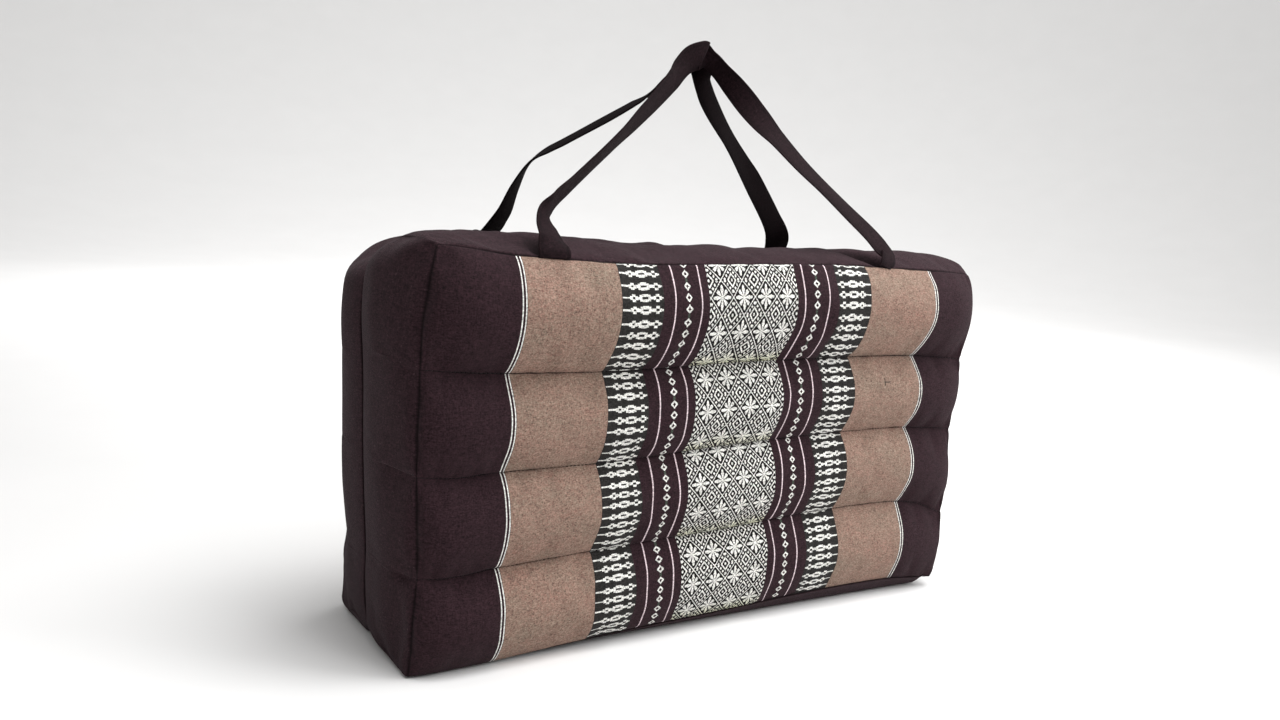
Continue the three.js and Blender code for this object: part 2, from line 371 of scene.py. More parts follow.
def along_stations(stations, at):
    """The height of a smooth curve through (place, height) stations."""
    at = clamp(at, stations[0][0], stations[-1][0])
    index = next(i for i in range(len(stations) - 1) if at <= stations[i + 1][0])
    (start, low), (end, high) = stations[index:index + 2]
    span = end - start
    share = (at - start) / span
    back = 1 - share
    return (low * back * back * (1 + 2 * share) + high * share * share * (3 - 2 * share)
            + slope_at(stations, index) * span * share * back * back
            - slope_at(stations, index + 1) * span * share * share * back)


def crowd_to_ends(share, crowding):
    """Spreads even steps so that they are closer together at both ends of 0 to 1."""
    return share - crowding * math.sin(2 * math.pi * share) / (2 * math.pi)


def make_object(bm, name, materials):
    mesh = bpy.data.meshes.new(name)
    bm.to_mesh(mesh)
    bm.free()
    for material in materials:
        mesh.materials.append(material)
    mesh.shade_smooth()
    piece = bpy.data.objects.new(name, mesh)
    bpy.context.scene.collection.objects.link(piece)
    return piece


def lay_uv(bm, place):
    """Gives every corner of every face its place on the cloth, in metres, from its vertex."""
    uv = bm.loops.layers.uv.new("cloth")
    for face in bm.faces:
        for loop in face.loops:
            loop[uv].uv = place(loop.vert)


def block_grid(cuts):
    """A closed unit block, cut evenly along x, y and z."""
    bm = bmesh.new()
    bmesh.ops.create_cube(bm, size=1.0)
    for axis, count in enumerate(cuts):
        edges = [e for e in bm.edges if abs((e.verts[1].co - e.verts[0].co)[axis]) > 0.5]
        bmesh.ops.subdivide_edges(bm, edges=edges, cuts=count - 1, use_grid_fill=True)
    return bm


def add_subdivision(piece, levels):
    modifier = piece.modifiers.new("Subdivision", "SUBSURF")
    modifier.levels = levels
    modifier.render_levels = levels
    modifier.boundary_smooth = "PRESERVE_CORNERS"


# --- shader arithmetic ---

def math_step(operation):
    """A method of Amount that adds one Math node."""
    def method(self, *others):
        return self.finish.calc(operation, self, *others)
    return method


class Amount:
    """A number that varies over a surface. Arithmetic on it adds Math nodes."""

    def __init__(self, finish, socket):
        self.finish = finish
        self.socket = socket

    __add__ = __radd__ = math_step("ADD")
    __sub__ = math_step("SUBTRACT")
    __mul__ = __rmul__ = __and__ = math_step("MULTIPLY")
    __or__ = math_step("MAXIMUM")
    __lt__ = math_step("LESS_THAN")
    __gt__ = math_step("GREATER_THAN")
    __abs__ = math_step("ABSOLUTE")
    smallest = math_step("MINIMUM")
    floor = math_step("FLOOR")
    after_point = math_step("FRACT")
    sin = math_step("SINE")
    cos = math_step("COSINE")
    root = math_step("SQRT")
    turn_from = math_step("ARCTAN2")

    def __rsub__(self, other):
        return self.finish.calc("SUBTRACT", other, self)

    def without(self, other):
        """This mask where the other one isn't."""
        return self & (1 - other)

    def within(self, low, high):
        return (self > low) & (self < high)

    def near(self, middle, reach):
        return abs(self - middle) < reach

    def off_repeat(self, period):
        """How far it lies from the nearest multiple of the period, below or above."""
        return ((self * (1 / period) + 0.5).after_point() - 0.5) * period

    def stepped(self, step):
        """Rounded to the middle of the thread that it falls on."""
        return ((self * (1 / step)).floor() + 0.5) * step


class Finish:
    """A cloth material and its node tree."""

    def __init__(self, name):
        self.material = bpy.data.materials.new(name)
        self.material.use_nodes = True
        self.tree = self.material.node_tree
        self.tree.nodes.clear()
        self.shader = self.node("ShaderNodeBsdfPrincipled")
        self.node("ShaderNodeOutputMaterial", inputs={"Surface": self.shader.outputs["BSDF"]})

    def feed(self, node, inputs):
        """Gives a node's sockets their values or links."""
        for key, value in inputs.items():
            value = value.socket if isinstance(value, Amount) else value
            if isinstance(value, bpy.types.NodeSocket):
                self.tree.links.new(value, node.inputs[key])
            else:
                node.inputs[key].default_value = value

    def node(self, kind, settings=None, inputs=None):
        """Adds a node: its settings first, then the values or links of its sockets."""
        made = self.tree.nodes.new(kind)
        for name, value in (settings or {}).items():
            setattr(made, name, value)
        self.feed(made, inputs or {})
        return made

    def calc(self, operation, *values):
        made = self.node("ShaderNodeMath", {"operation": operation}, dict(enumerate(values)))
        return Amount(self, made.outputs[0])

    def cloth_place(self):
        """Millimetres of cloth across and down, from the piece's own UV map."""
        place = self.node("ShaderNodeUVMap", {"uv_map": "cloth"})
        parts = self.node("ShaderNodeSeparateXYZ", inputs={0: place.outputs[0]})
        return Amount(self, parts.outputs[0]) * 1000, Amount(self, parts.outputs[1]) * 1000

    def point(self, x, y, z=0.0):
        return self.node("ShaderNodeCombineXYZ", inputs={0: x, 1: y, 2: z}).outputs[0]

    def cloud(self, point, scale, detail=2.0):
        """Soft noise from 0 to 1."""
        made = self.node("ShaderNodeTexNoise", {"noise_dimensions": "3D"},
                         {"Vector": point, "Scale": scale, "Detail": detail})
        return Amount(self, made.outputs["Fac"])

    def scatter(self, point):
        """A number from 0 to 1 that jumps from one whole-number place to the next."""
        made = self.node("ShaderNodeTexWhiteNoise", {"noise_dimensions": "3D"}, {"Vector": point})
        return Amount(self, made.outputs["Value"])

    def marked(self, name):
        """A number that the piece carries on its points."""
        made = self.node("ShaderNodeAttribute", {"attribute_name": name})
        return Amount(self, made.outputs["Fac"])

    def mix(self, share, first, second):
        """The first colour, and the second one where the share is 1."""
        made = self.node("ShaderNodeMix", {"data_type": "RGBA"}, {0: share, 6: first, 7: second})
        return made.outputs[2]

    def lit(self, colour, amount):
        """A colour made lighter or darker by a number near 1."""
        colour = colour[:3] if isinstance(colour, tuple) else colour
        grey = self.node("ShaderNodeCombineXYZ", inputs={0: amount, 1: amount, 2: amount})
        made = self.node("ShaderNodeVectorMath", {"operation": "MULTIPLY"},
                         {0: colour, 1: grey.outputs[0]})
        return made.outputs[0]

    def matt_cotton(self, colour, roughness, relief, sheen, specular=0.12, bump=(0.00035, 0.7)):
        """Colour, roughness and relief may vary over the cloth; the rest is the same all over."""
        depth, strength = bump
        raised = self.node("ShaderNodeBump", inputs={"Height": relief, "Distance": depth,
                                                     "Strength": strength})
        self.feed(self.shader, {
            "Base Color": colour,
            "Roughness": roughness,
            "Normal": raised.outputs[0],
            "Specular IOR Level": specular,
            "Sheen Weight": sheen,
            "Sheen Roughness": 0.45,
            "Sheen Tint": (0.85, 0.75, 0.80, 1.0),
        })


def rgba(colour):
    return (*colour, 1.0)


# --- the weave ---

# All in millimetres of cloth: how far apart the threads of the plain weave lie, the height of the
# pattern's repeat, and its bands from the middle of the panel outwards.
WARP = 0.55
WEFT = 0.50
REPEAT = 28.0
FLOWER_WIDTH = 21.25
FLOWER_BAND = 43.5
ROSE_LINES = (51.0, 75.5)
CHAIN = 63.0
HOOKED_BAND = (86.0, 122.0)
TAN_BAND = (122.0, 197.5)
DOUBLE_LINE = 199.6
# Where the two figures of the repeat start, and the threads in its height.
HOOK_START, HOOK_THREADS = 2.0, 58
FLOWER_START, FLOWER_THREADS = 3.3, 66
# How far apart the rows of hooked figures lie.
HOOK_ROW = 8.82
# Painted shade: how dark the cloth is painted in its seams and creases, and along its sewn lines.
SEAM_SHADE = 0.72
SEWN_SHADE = 0.6
# Yarns beside the dyed ones: the cooler and the warmer threads of the tan and the ticks between the
# links of the chain; and an olive painted shade on the light threads just above a sewn line.
COOL_TAN = (0.215, 0.200, 0.150, 1.0)
WARM_TAN = (0.450, 0.205, 0.165, 1.0)
TICK_GREEN = (0.034, 0.042, 0.033, 1.0)
FLANK_SHADE_TINT = (0.480, 0.500, 0.200, 1.0)
FLANK_SHADE_HEIGHT = 15.0
# The snag in the right tan band: the middle of each of its two strokes and half their sizes.
SNAG = ((157.0, 0.6, 128.0, 3.6), (160.0, 3.4, 128.6, 0.6))


def plain_weave(finish, across, down):
    """Height, brightness and yarn shade of a plain weave, thread over and under thread."""
    column = (across * (1 / WARP)).floor()
    row = (down * (1 / WEFT)).floor()
    over = ((column + row) * 0.5).after_point() * 2
    warp_round = (across * (math.pi / WARP)).cos()
    weft_round = (down * (math.pi / WEFT)).cos()
    height = (abs(warp_round) * (1 - over) + abs(weft_round) * over) * 0.5
    warp_start = finish.scatter(finish.point(column, 5.0, 3.0)) * 9
    weft_start = finish.scatter(finish.point(6.0, row, 4.0)) * 9
    warp_yarn = finish.scatter(finish.point(column, (down * 0.42 + warp_start).floor(), 3.0))
    weft_yarn = finish.scatter(finish.point((across * 0.42 + weft_start).floor(), row, 7.0))
    yarn = warp_yarn * (1 - over) + weft_yarn * over
    fleck = finish.cloud(finish.point(across, down * 1.3, 4.0), 0.85, 0.0)
    tone = 0.06 + yarn * 0.60 + fleck * 1.28
    return height, tone, yarn


def slub(finish, across, down):
    """Longer, softer streaks of thicker yarn, along both threads."""
    flat = finish.cloud(finish.point(across * 0.12, down * 1.1), 1.0)
    upright = finish.cloud(finish.point(across * 1.1, down * 0.10, 5.0), 1.0)
    grain = finish.cloud(finish.point(across, down, 2.0), 0.75)
    return 0.55 + (flat * 0.30 + upright * 0.30 + grain * 0.30)


def flower_figure(across, picks):
    """The flower lattice in the middle band: 1 on its light threads."""
    cell = FLOWER_WIDTH / 2
    half = REPEAT / 2
    x = abs(across.off_repeat(FLOWER_WIDTH)).stepped(0.42)
    x_share = x * (1 / cell)
    y_share = (half - picks) * (1 / half)
    ring = x_share + y_share
    core = ring < 0.11
    inner = ring.within(0.31, 0.46)
    bead = abs(((x_share - y_share) * 2.5).after_point() - 0.5) * 2
    beads = ring.within(0.61, 0.82) & (bead < 0.52)
    border = ring.near(1.0, 0.046)
    from_x = cell - x
    tall = picks * 0.8
    out = (from_x * from_x + tall * tall).root()
    eighth = math.pi / 4
    apart = abs((tall.turn_from(from_x) * (1 / eighth)).off_repeat(1))
    swell = (out * (math.pi / 9.2)).sin()
    petal = (apart < 0.34) & (apart * out * eighth < swell * 1.3)
    petals = petal & (out < 8.1) & (ring > 1.2)
    pistil = out < 1.0
    return core | inner | beads | border | petals | pistil


# One figure of the hooked bands, from the tan inwards: each block's two ends, and how far it
# lies from the row's middle thread, nearest and farthest.
HOOK_BLOCKS = (
    (0.6, 7.4, 0, 0.65),
    (7.2, 9.3, 0, 1.5),
    (9, 11.9, 0.85, 2.75),
    (11.6, 13.9, 0, 1.5),
    (13.8, 15.9, 0, 1.2),
    (15.7, 17.7, 0, 2.5),
    (17.5, 22.5, 0.85, 3.1),
    (22.3, 24.3, 0, 2.5),
    (24.1, 27.2, 0, 1.2),
    (27, 29.2, 0, 1.3),
    (29, 32.2, 0.9, 2.9),
    (31.9, 34.2, 0, 1.3),
    (34, 35.7, 0, 0.6),
)


def any_of(masks):
    """1 where any one of the masks is."""
    return functools.reduce(operator.or_, masks)


def hooked_figure(inward, from_row):
    """One row of the bands beside the tan: a bar, a knot, a slit lozenge and a diamond."""
    blocks = []
    for start, end, near, far in HOOK_BLOCKS:
        block = inward.near((start + end) / 2, (end - start) / 2) & (from_row < far)
        blocks.append(block & (from_row > near) if near else block)
    return any_of(blocks)


def make_panel_finish(colours):
    """The patterned cloth: brown ends, tan bands, hooked bands, chains and the flower brocade."""
    finish = Finish("panel_weave")
    across, down = finish.cloth_place()
    side = abs(across)
    picks = abs((down - HOOK_START).off_repeat(REPEAT).stepped(REPEAT / HOOK_THREADS))
    from_row = abs(picks - HOOK_ROW).smallest(picks)
    flower_picks = (down - FLOWER_START).off_repeat(REPEAT)
    flower_picks = abs(flower_picks.stepped(REPEAT / FLOWER_THREADS))

    figure_side = side.stepped(0.5)
    middle = side < FLOWER_BAND
    flowers = flower_figure(side, flower_picks) & middle
    hooked_band = side.within(*HOOKED_BAND)
    hooked = hooked_figure(HOOKED_BAND[1] - figure_side, from_row) & hooked_band
    chain_x = abs(figure_side - CHAIN)
    link_shape = (chain_x * (1 / 3.3) + from_row * (1 / 3.6)) < 1
    link_hole = (chain_x * (1 / 1.5) + from_row * (1 / 1.7)) < 1
    chain = link_shape.without(link_hole)
    tick = (chain_x < 0.8) & (picks > 12.6)
    double_line = side.near(DOUBLE_LINE, 1.75).without(side.near(DOUBLE_LINE, 0.82))
    rose_line = any_of([side.near(line, 0.55) for line in ROSE_LINES])
    tan_band = side.within(*TAN_BAND)

    height, tone, yarn = plain_weave(finish, across, down)
    streaks = slub(finish, across, down)
    patches = finish.cloud(finish.point(across * 0.02, down * 0.035, 9.0), 1.0)
    cool = (yarn > 0.60) & (patches * 1.6 - 0.40)
    warm = (yarn < 0.40) & (1.20 - patches * 1.6)
    tan = finish.mix(cool * 0.60, rgba(colours.tan), COOL_TAN)
    tan = finish.mix(warm * 0.50, tan, WARM_TAN)
    tan = finish.lit(tan, 0.645 + streaks * 0.22)
    ground = finish.mix(hooked_band, rgba(colours.brown), rgba(colours.charcoal))
    ground = finish.mix(middle, ground, rgba(colours.black))
    ground = finish.mix(tick, ground, TICK_GREEN)
    ground = finish.lit(ground, streaks * streaks * 1.35)
    cloth = finish.mix(tan_band, ground, tan)
    cloth = finish.mix(rose_line, cloth, rgba(colours.rose))
    figure = flowers | hooked | chain | double_line
    # Painted shade: the cream figures of the middle band turn olive, in patches, just above each
    # sewn line, on the channel's lower flank.
    heights = [(low - 2.0 - down) * (1 / FLANK_SHADE_HEIGHT) for low, _ in WEAVE_SPANS]
    flank_shade = any_of([(1 - above) & above.within(0, 1) for above in heights])
    shaded_cream = finish.mix(flank_shade * patches * (0.9 * (side < 60)), rgba(colours.cream), FLANK_SHADE_TINT)
    cloth = finish.mix(figure, cloth, shaded_cream)
    snag = any_of([across.near(x, wide) & down.near(y, tall) for x, wide, y, tall in SNAG])
    cloth = finish.mix(snag * 0.8, cloth, rgba(colours.charcoal))
    cloth = finish.lit(cloth, tone)
    # Painted shade: a thin dark line along each sewn line, and the painted shade of seams and
    # creases carried on the points.
    sewn = any_of([down.near(low, 1.0) | down.near(high, 0.8) for low, high in WEAVE_SPANS])
    seam = finish.marked("seam")
    cloth = finish.lit(cloth, (1 - seam * SEAM_SHADE) * (1 - sewn * SEWN_SHADE))
    relief = height * 0.5 + figure * 0.7 + streaks * 0.5
    finish.matt_cotton(cloth, 0.92 - figure * 0.16, relief, 0.03)
    return finish.material


def make_plain_finish(colours, name="boxing_cotton", shade=1.0, worn=0.25):
    """The brown cotton of the boxing, the back, the hinge and the straps."""
    finish = Finish(name)
    across, down = finish.cloth_place()
    height, tone, _ = plain_weave(finish, across, down)
    streaks = slub(finish, across, down)
    lint_place = finish.point((across * 0.9).floor(), (down * 0.9).floor(), 4.0)
    lint = finish.scatter(lint_place) > 0.988
    wear = finish.cloud(finish.point(across * 0.03, down * 0.03), 1.0, 4.0)
    # For a strap, shade darkens the brown: painted shade for how little light reaches it.
    brown = tuple(value * shade for value in colours.brown)
    pale = tuple(value * 2.1 + 0.012 * shade for value in brown)
    cloth = finish.mix((wear - 0.45) * worn, rgba(brown), rgba(pale))
    cloth = finish.mix(lint * 0.30, cloth, rgba(pale))
    cloth = finish.lit(cloth, tone * (streaks * streaks * 1.35))
    # Painted shade in the seams and creases, carried on the points.
    cloth = finish.lit(cloth, 1 - finish.marked("seam") * SEAM_SHADE)
    finish.matt_cotton(cloth, 0.86 + wear * 0.12, height * 0.6 + streaks, 0.05 * shade,
                       0.12 * min(1.0, shade + 0.2))
    return finish.material


def make_thread_finish(colours):
    """The sewing thread: two plies twisted round each other."""
    finish = Finish("sewing_thread")
    across, down = finish.cloth_place()
    twist = ((down * 2.2 + across * 1.6) * math.pi).cos()
    brown = tuple(value * 0.6 for value in colours.brown)
    cloth = finish.lit(rgba(brown), 0.85 + twist * 0.25)
    finish.matt_cotton(cloth, 0.6, twist, 0.1, bump=(0.0001, 0.6))
    return finish.material


def finish_named(name, maker, *args):
    """The material of that name, made the first time it is asked for."""
    return bpy.data.materials.get(name) or maker(*args)


# --- the pads ---

class Channel:
    """One sewn channel of the panel: its lines, its crown and the cloth that it takes up."""

    SAMPLES = 160

    def __init__(self, index):
        self.lines = [list(zip(LINE_STATIONS, line)) for line in SEWN_LINES[index:index + 2]]
        self.crown = CROWNS[index]
        self.recess = (
            FOOT_RECESS if index == 0 else SEAM_RECESS,
            0 if index == len(CROWNS) - 1 else SEAM_RECESS,
        )
        self.weave = WEAVE_SPANS[index]
        low, high = self.span(0)
        shares = [i / self.SAMPLES for i in range(self.SAMPLES + 1)]
        places = [(self.depth(share, 0.5), blend(low, high, share)) for share in shares]
        steps = (math.dist(one, other) for one, other in zip(places, places[1:]))
        lengths = [0.0, *accumulate(steps)]
        self.lengths = [length / lengths[-1] for length in lengths]

    def span(self, x):
        """Heights of the channel's two sewn lines at x."""
        return [along_stations(line, x) for line in self.lines]

    def depth(self, share, across):
        """Depth below the panel's plane at a share of the way up, where across runs 0 to 1."""
        out = blend(*self.crown, across) * math.sin(math.pi * clamp(share)) ** CROWN_POWER
        settled = blend(*RECESS_EASE, smooth_step(0, RECESS_EASE_LENGTH, across))
        return blend(*self.recess, share) * settled - out

    def rise(self, cloth_share):
        """The share of the way up at a share of the cloth's length."""
        index = bisect_left(self.lengths, cloth_share)
        if index == 0:
            return 0.0
        before = self.lengths[index - 1]
        return (index - 1 + (cloth_share - before) / (self.lengths[index] - before)) / self.SAMPLES


class PadForm:
    """The filled shape of a pad, in millimetres: x along, y in from the panel's seams, z up."""

    def __init__(self, sizes, pad):
        self.pad = pad
        self.depth = sizes.wall_depth / MM
        self.fold_gap = sizes.fold_gap / MM
        self.channels = [Channel(index) for index in range(len(CROWNS))]
        self.rows = [self.row(i / ROWS) for i in range(ROWS + 1)]

    def seat(self):
        """Carries the form from its own millimetres to its place beside the fold, in metres."""
        turn = Matrix.Rotation(math.radians(self.pad["turn"]), 4, "Z")
        shift = Matrix.Translation((0, -self.depth - self.fold_gap, 0))
        return Matrix.Scale(MM, 4) @ turn @ shift

    def row(self, up):
        """The channel and the share of the way up it at a share of all rows."""
        scaled = up * len(self.channels)
        index = min(int(scaled), len(self.channels) - 1)
        return self.channels[index], self.channels[index].rise(ease(scaled - index))

    def reach(self, side, height):
        """How far the end seam stands from the middle."""
        return along_stations(self.pad["ends"][0 if side < 0 else 1], height)

    def taper(self, x, height):
        """0 at the end seams, 1 past the taper."""
        inward = clamp((self.reach(x, height) - abs(x)) / END_TAPER)
        return math.sin(math.pi / 2 * inward) ** END_POWER

    def top(self, x, deep):
        """Height of the top wall."""
        rise = along_stations(self.pad["crest"], x) * math.sin(CREST_ARC * deep)
        if self.pad["lump"]:
            lump, at, spread = self.pad["lump"]
            rise += lump * hill(x - at, spread) * hill(deep - 0.5, LUMP_DEPTH)
        return self.channels[-1].span(x)[1] + rise

    def rounded(self, x, z, reach, top, deep):
        """Turns the square corners of the outline into round ones, rounder towards the fold."""
        upper = z > top / 2
        side = 0 if x < 0 else 1
        seam_corner = self.pad["top_seam_corners" if upper else "foot_seam_corners"][side]
        fold_corner = self.pad["top_corners" if upper else "foot_corners"][side]
        inward = smooth_step(0, CORNER_EASE, deep)
        wide, tall = (blend(*pair, inward) for pair in zip(seam_corner, fold_corner))
        centre_z, way = (top - tall, 1) if upper else (tall, -1)
        past_x = (abs(x) - reach + wide) / wide
        past_z = way * (z - centre_z) / tall
        if past_x <= 0 or past_z <= 0:
            return x, z
        shrink = max(past_x, past_z) / math.hypot(past_x, past_z)
        x = math.copysign(reach - wide + past_x * shrink * wide, x)
        return x, centre_z + way * past_z * shrink * tall

    def point(self, across, deep, row):
        """A place on the pad from -1 to 1 along it, 0 to 1 into it, and a row up it."""
        channel, share = self.rows[row]
        height = blend(*channel.span(across * PANEL_HALF), share)
        seam_reach = self.reach(across, height)
        swell = along_stations(END_SWELL, height) * math.sin(SWELL_ARC * deep)
        x = across * (seam_reach + swell)
        foot = self.channels[0].span(x)[0]
        head = self.channels[-1].span(x)[1]
        height = blend(*channel.span(x), share)
        top = self.top(x, deep)
        floor = foot * (1 - smooth_step(0, FOOT_ROLL_DEPTH, deep))
        z = floor + (height - foot) * (top - floor) / (head - foot)
        x, z = self.rounded(x, z, seam_reach + swell, top, deep)
        y = self.depth * deep
        if row > ROWS - ROWS_PER_CHANNEL:
            climbed = (row - ROWS + ROWS_PER_CHANNEL) / ROWS_PER_CHANNEL
            bow = TOP_BOW * smooth_step(0, BOW_EASE, CORNER - abs(x))
            y -= bow * climbed ** 3 * (1 - deep) ** 2
        if deep == 0:
            y += channel.depth(share, (across + 1) / 2) * self.taper(x, height)
        elif deep == 1:
            sunk = BACK_GROOVE * (1 - math.sin(math.pi * share) ** 0.5)
            wave = BACK_WAVE * math.sin(x / BACK_WAVE_LENGTH) * math.sin(math.pi * row / ROWS)
            y += (wave - sunk) * self.taper(x, height)
        return Vector((x, *self.bevelled(y, z)))

    def bevelled(self, y, z):
        """Slopes off the inner bottom edge, where the hinge runs."""
        inward = (self.depth - y) / HINGE_BEVEL[0]
        upward = z / HINGE_BEVEL[1]
        if inward >= 1 or upward >= 1:
            return y, z
        shift = (1 - inward) * (1 - upward) / 2
        return y - shift * HINGE_BEVEL[0], z + shift * HINGE_BEVEL[1]


def seat_of(vertex):
    """Where a vertex of the unit block lies: -1 to 1 along, 0 to 1 in, and its row up."""
    along = crowd_to_ends(clamp(vertex.co.x + 0.5), COLUMN_CROWDING) * 2 - 1
    deep = ease(clamp(vertex.co.y + 0.5))
    return round(along, 6), round(deep, 6), round((vertex.co.z + 0.5) * ROWS)


def on_sewn_line(seat):
    """Whether a vertex lies on a line sewn across the panel."""
    return seat[1] == 0 and seat[2] % ROWS_PER_CHANNEL == 0


def along_line(place, start, end):
    """How far along the line from start to end a place lies, and how far off it."""
    line = end - start
    share = clamp((place - start).dot(line) / line.length_squared)
    return share, (place - start - line * share).length


# How a crease is painted with shade in its hollow: the depth of a full one, the share of it that
# doesn't show yet, and the strength of the painted shade.
FULL_CREASE = 8
FAINT_CREASE = 0.15
CREASE_SHADE = 1.25
# Sewing pulls the cloth into creases: where each starts and ends on the filled form, its width
# and how deep it is.
CREASES = (
    ((-262, 0, 297), (-236, 30, 309), 3.2, 2),
    ((-262, 2, 292), (-281, 34, 280), 3.4, 2.2),
    ((-262, 0, 297), (-262, 40, 305), 3, 1.8),
    ((-255, 0, 297), (-214, 22, 311), 3, 1.4),
    ((262, 0, 297), (236, 30, 309), 3.2, 2),
    ((262, 2, 292), (281, 34, 280), 3.4, 2),
    ((262, 0, 297), (262, 40, 305), 3, 1.8),
    ((-260, 1, 70), (-270, 24, 71), 3.2, 2.4),
    ((-260, 1, 75), (-269, 17, 80), 2.6, 1.4),
    ((-262, 1, 142), (-274, 16, 143), 3, 1.4),
    ((-264, 1, 215), (-279, 15, 214), 3, 1.4),
    ((254, 1, 75), (264, 20, 74), 3.2, 2.2),
    ((254, 1, 152), (266, 18, 151), 3, 1.8),
    ((260, 1, 218), (274, 17, 216), 3, 1.6),
    ((-182, 1, 297), (-168, 34, 308), 4.5, 5.5),
    ((146, 4, 301), (117, 40, 309), 9, 14),
    ((-150, 2, 298), (-141, 20, 310), 4, 1.8),
    ((178, 2, 300), (172, 22, 309), 4, 1.8),
)


def crease_depth(place):
    """How far the creases draw the cloth in at a place."""
    depth = 0.0
    for start, end, width, drawn in CREASES:
        share, off = along_line(place, Vector(start), Vector(end))
        if off < width * 3:
            depth += drawn * hill(off, width) * (1 - smooth_step(0.35, 1, share))
    return depth


def wrinkle(place, seat):
    """How far the cloth stands off the plain form, in millimetres, at a place on the pad."""
    _, deep, row = seat
    soft = noise.noise(place * 0.016) * 1.1
    if deep == 0:
        channel = row // ROWS_PER_CHANNEL
        up_channel = row % ROWS_PER_CHANNEL / ROWS_PER_CHANNEL
        pucker = ripple(place.x * 0.055, channel * 7.0, 0.5)
        fine = ripple(place.x * 0.10, channel * 3.0, 4.5)
        near = math.sin(2 * math.pi * up_channel) ** 2
        return soft * math.sin(math.pi * up_channel) + (pucker * 0.9 + fine * 0.5) * near
    edge = math.sin(math.pi * deep)
    drawn = crease_depth(place) - ALLOWANCE_RIDGE * (1 - smooth_step(0.09, 0.15, deep))
    if row == ROWS:
        drag = ripple(place.x * 0.035, place.y * 0.02, 8.5)
        fine = ripple(place.x * 0.085, place.y * 0.05, 2.5) * 0.7
        return (soft + drag * 1.6 + fine) * edge - drawn
    drag = ripple(place.y * 0.06, place.z * 0.012, 3.5)
    return (soft + drag * 1.3) * edge - drawn


def build_pad(name, pad, sizes, materials):
    """Cuts a block into a grid, fills it out to the pad's form and lays the cloth on it."""
    form = PadForm(sizes, pad)
    bm = block_grid((COLUMNS, DEPTH_ROWS, ROWS))
    bm.verts.index_update()
    seats = {vertex.index: seat_of(vertex) for vertex in bm.verts}
    for vertex in bm.verts:
        vertex.co = form.point(*seats[vertex.index])
    bm.normal_update()
    on_seam = set()
    moves = {}
    for vertex in bm.verts:
        along, deep, row = seats[vertex.index]
        if deep in (0, 1) and (abs(along) == 1 or row in (0, ROWS)):
            on_seam.add(vertex.index)
            tuck = SEAM_TUCK if row > 0 else 0
            moves[vertex.index] = -vertex.normal * tuck
        elif deep < 1 and row > 0:
            moves[vertex.index] = vertex.normal * wrinkle(vertex.co, seats[vertex.index])
    for vertex in bm.verts:
        vertex.co += moves.get(vertex.index, Vector())
        vertex.co.z = max(vertex.co.z, 0.0)
    held = []
    for vertex in bm.verts:
        seat = seats[vertex.index]
        _, deep, row = seat
        pinned = vertex.index in on_seam or on_sewn_line(seat) or row <= 1 or deep > 0.9
        held.append(1.0 if pinned else 0.05 + 0.4 * smooth_step(0.5, 0.9, deep))
    paint_seam_and_crease_shade(bm, seats, on_seam)
    lay_cloth(bm, form, seats)
    bmesh.ops.transform(bm, matrix=form.seat(), verts=bm.verts)
    piece = make_object(bm, name, materials)
    settle(piece, held)
    return piece


def settle(piece, held):
    """Lets a filled piece's cloth settle under pressure, with its sewn lines held."""
    scene = bpy.context.scene
    mesh = piece.data
    start = [vertex.co.copy() for vertex in mesh.vertices]
    group = piece.vertex_groups.new(name="held")
    for index, weight in enumerate(held):
        group.add([index], weight, "REPLACE")
    modifier = piece.modifiers.new("Cloth", "CLOTH")
    for name, value in CLOTH.items():
        setattr(modifier.settings, name, value)
    modifier.settings.vertex_group_mass = "held"
    modifier.settings.effector_weights.gravity = 0.0
    modifier.collision_settings.use_collision = False
    modifier.point_cache.frame_start = 1
    modifier.point_cache.frame_end = SETTLE_FRAMES
    for frame in range(1, SETTLE_FRAMES + 1):
        scene.frame_set(frame)
    evaluated = piece.evaluated_get(bpy.context.evaluated_depsgraph_get())
    settled = [vertex.co.copy() for vertex in evaluated.data.vertices]
    piece.modifiers.remove(modifier)
    piece.vertex_groups.remove(group)
    for vertex, before, after in zip(mesh.vertices, start, settled):
        move = after - before
        if move.length > SETTLE_LIMIT * MM:
            move = move.normalized() * SETTLE_LIMIT * MM
        vertex.co = before + move
    mesh.update()
    scene.frame_set(1)


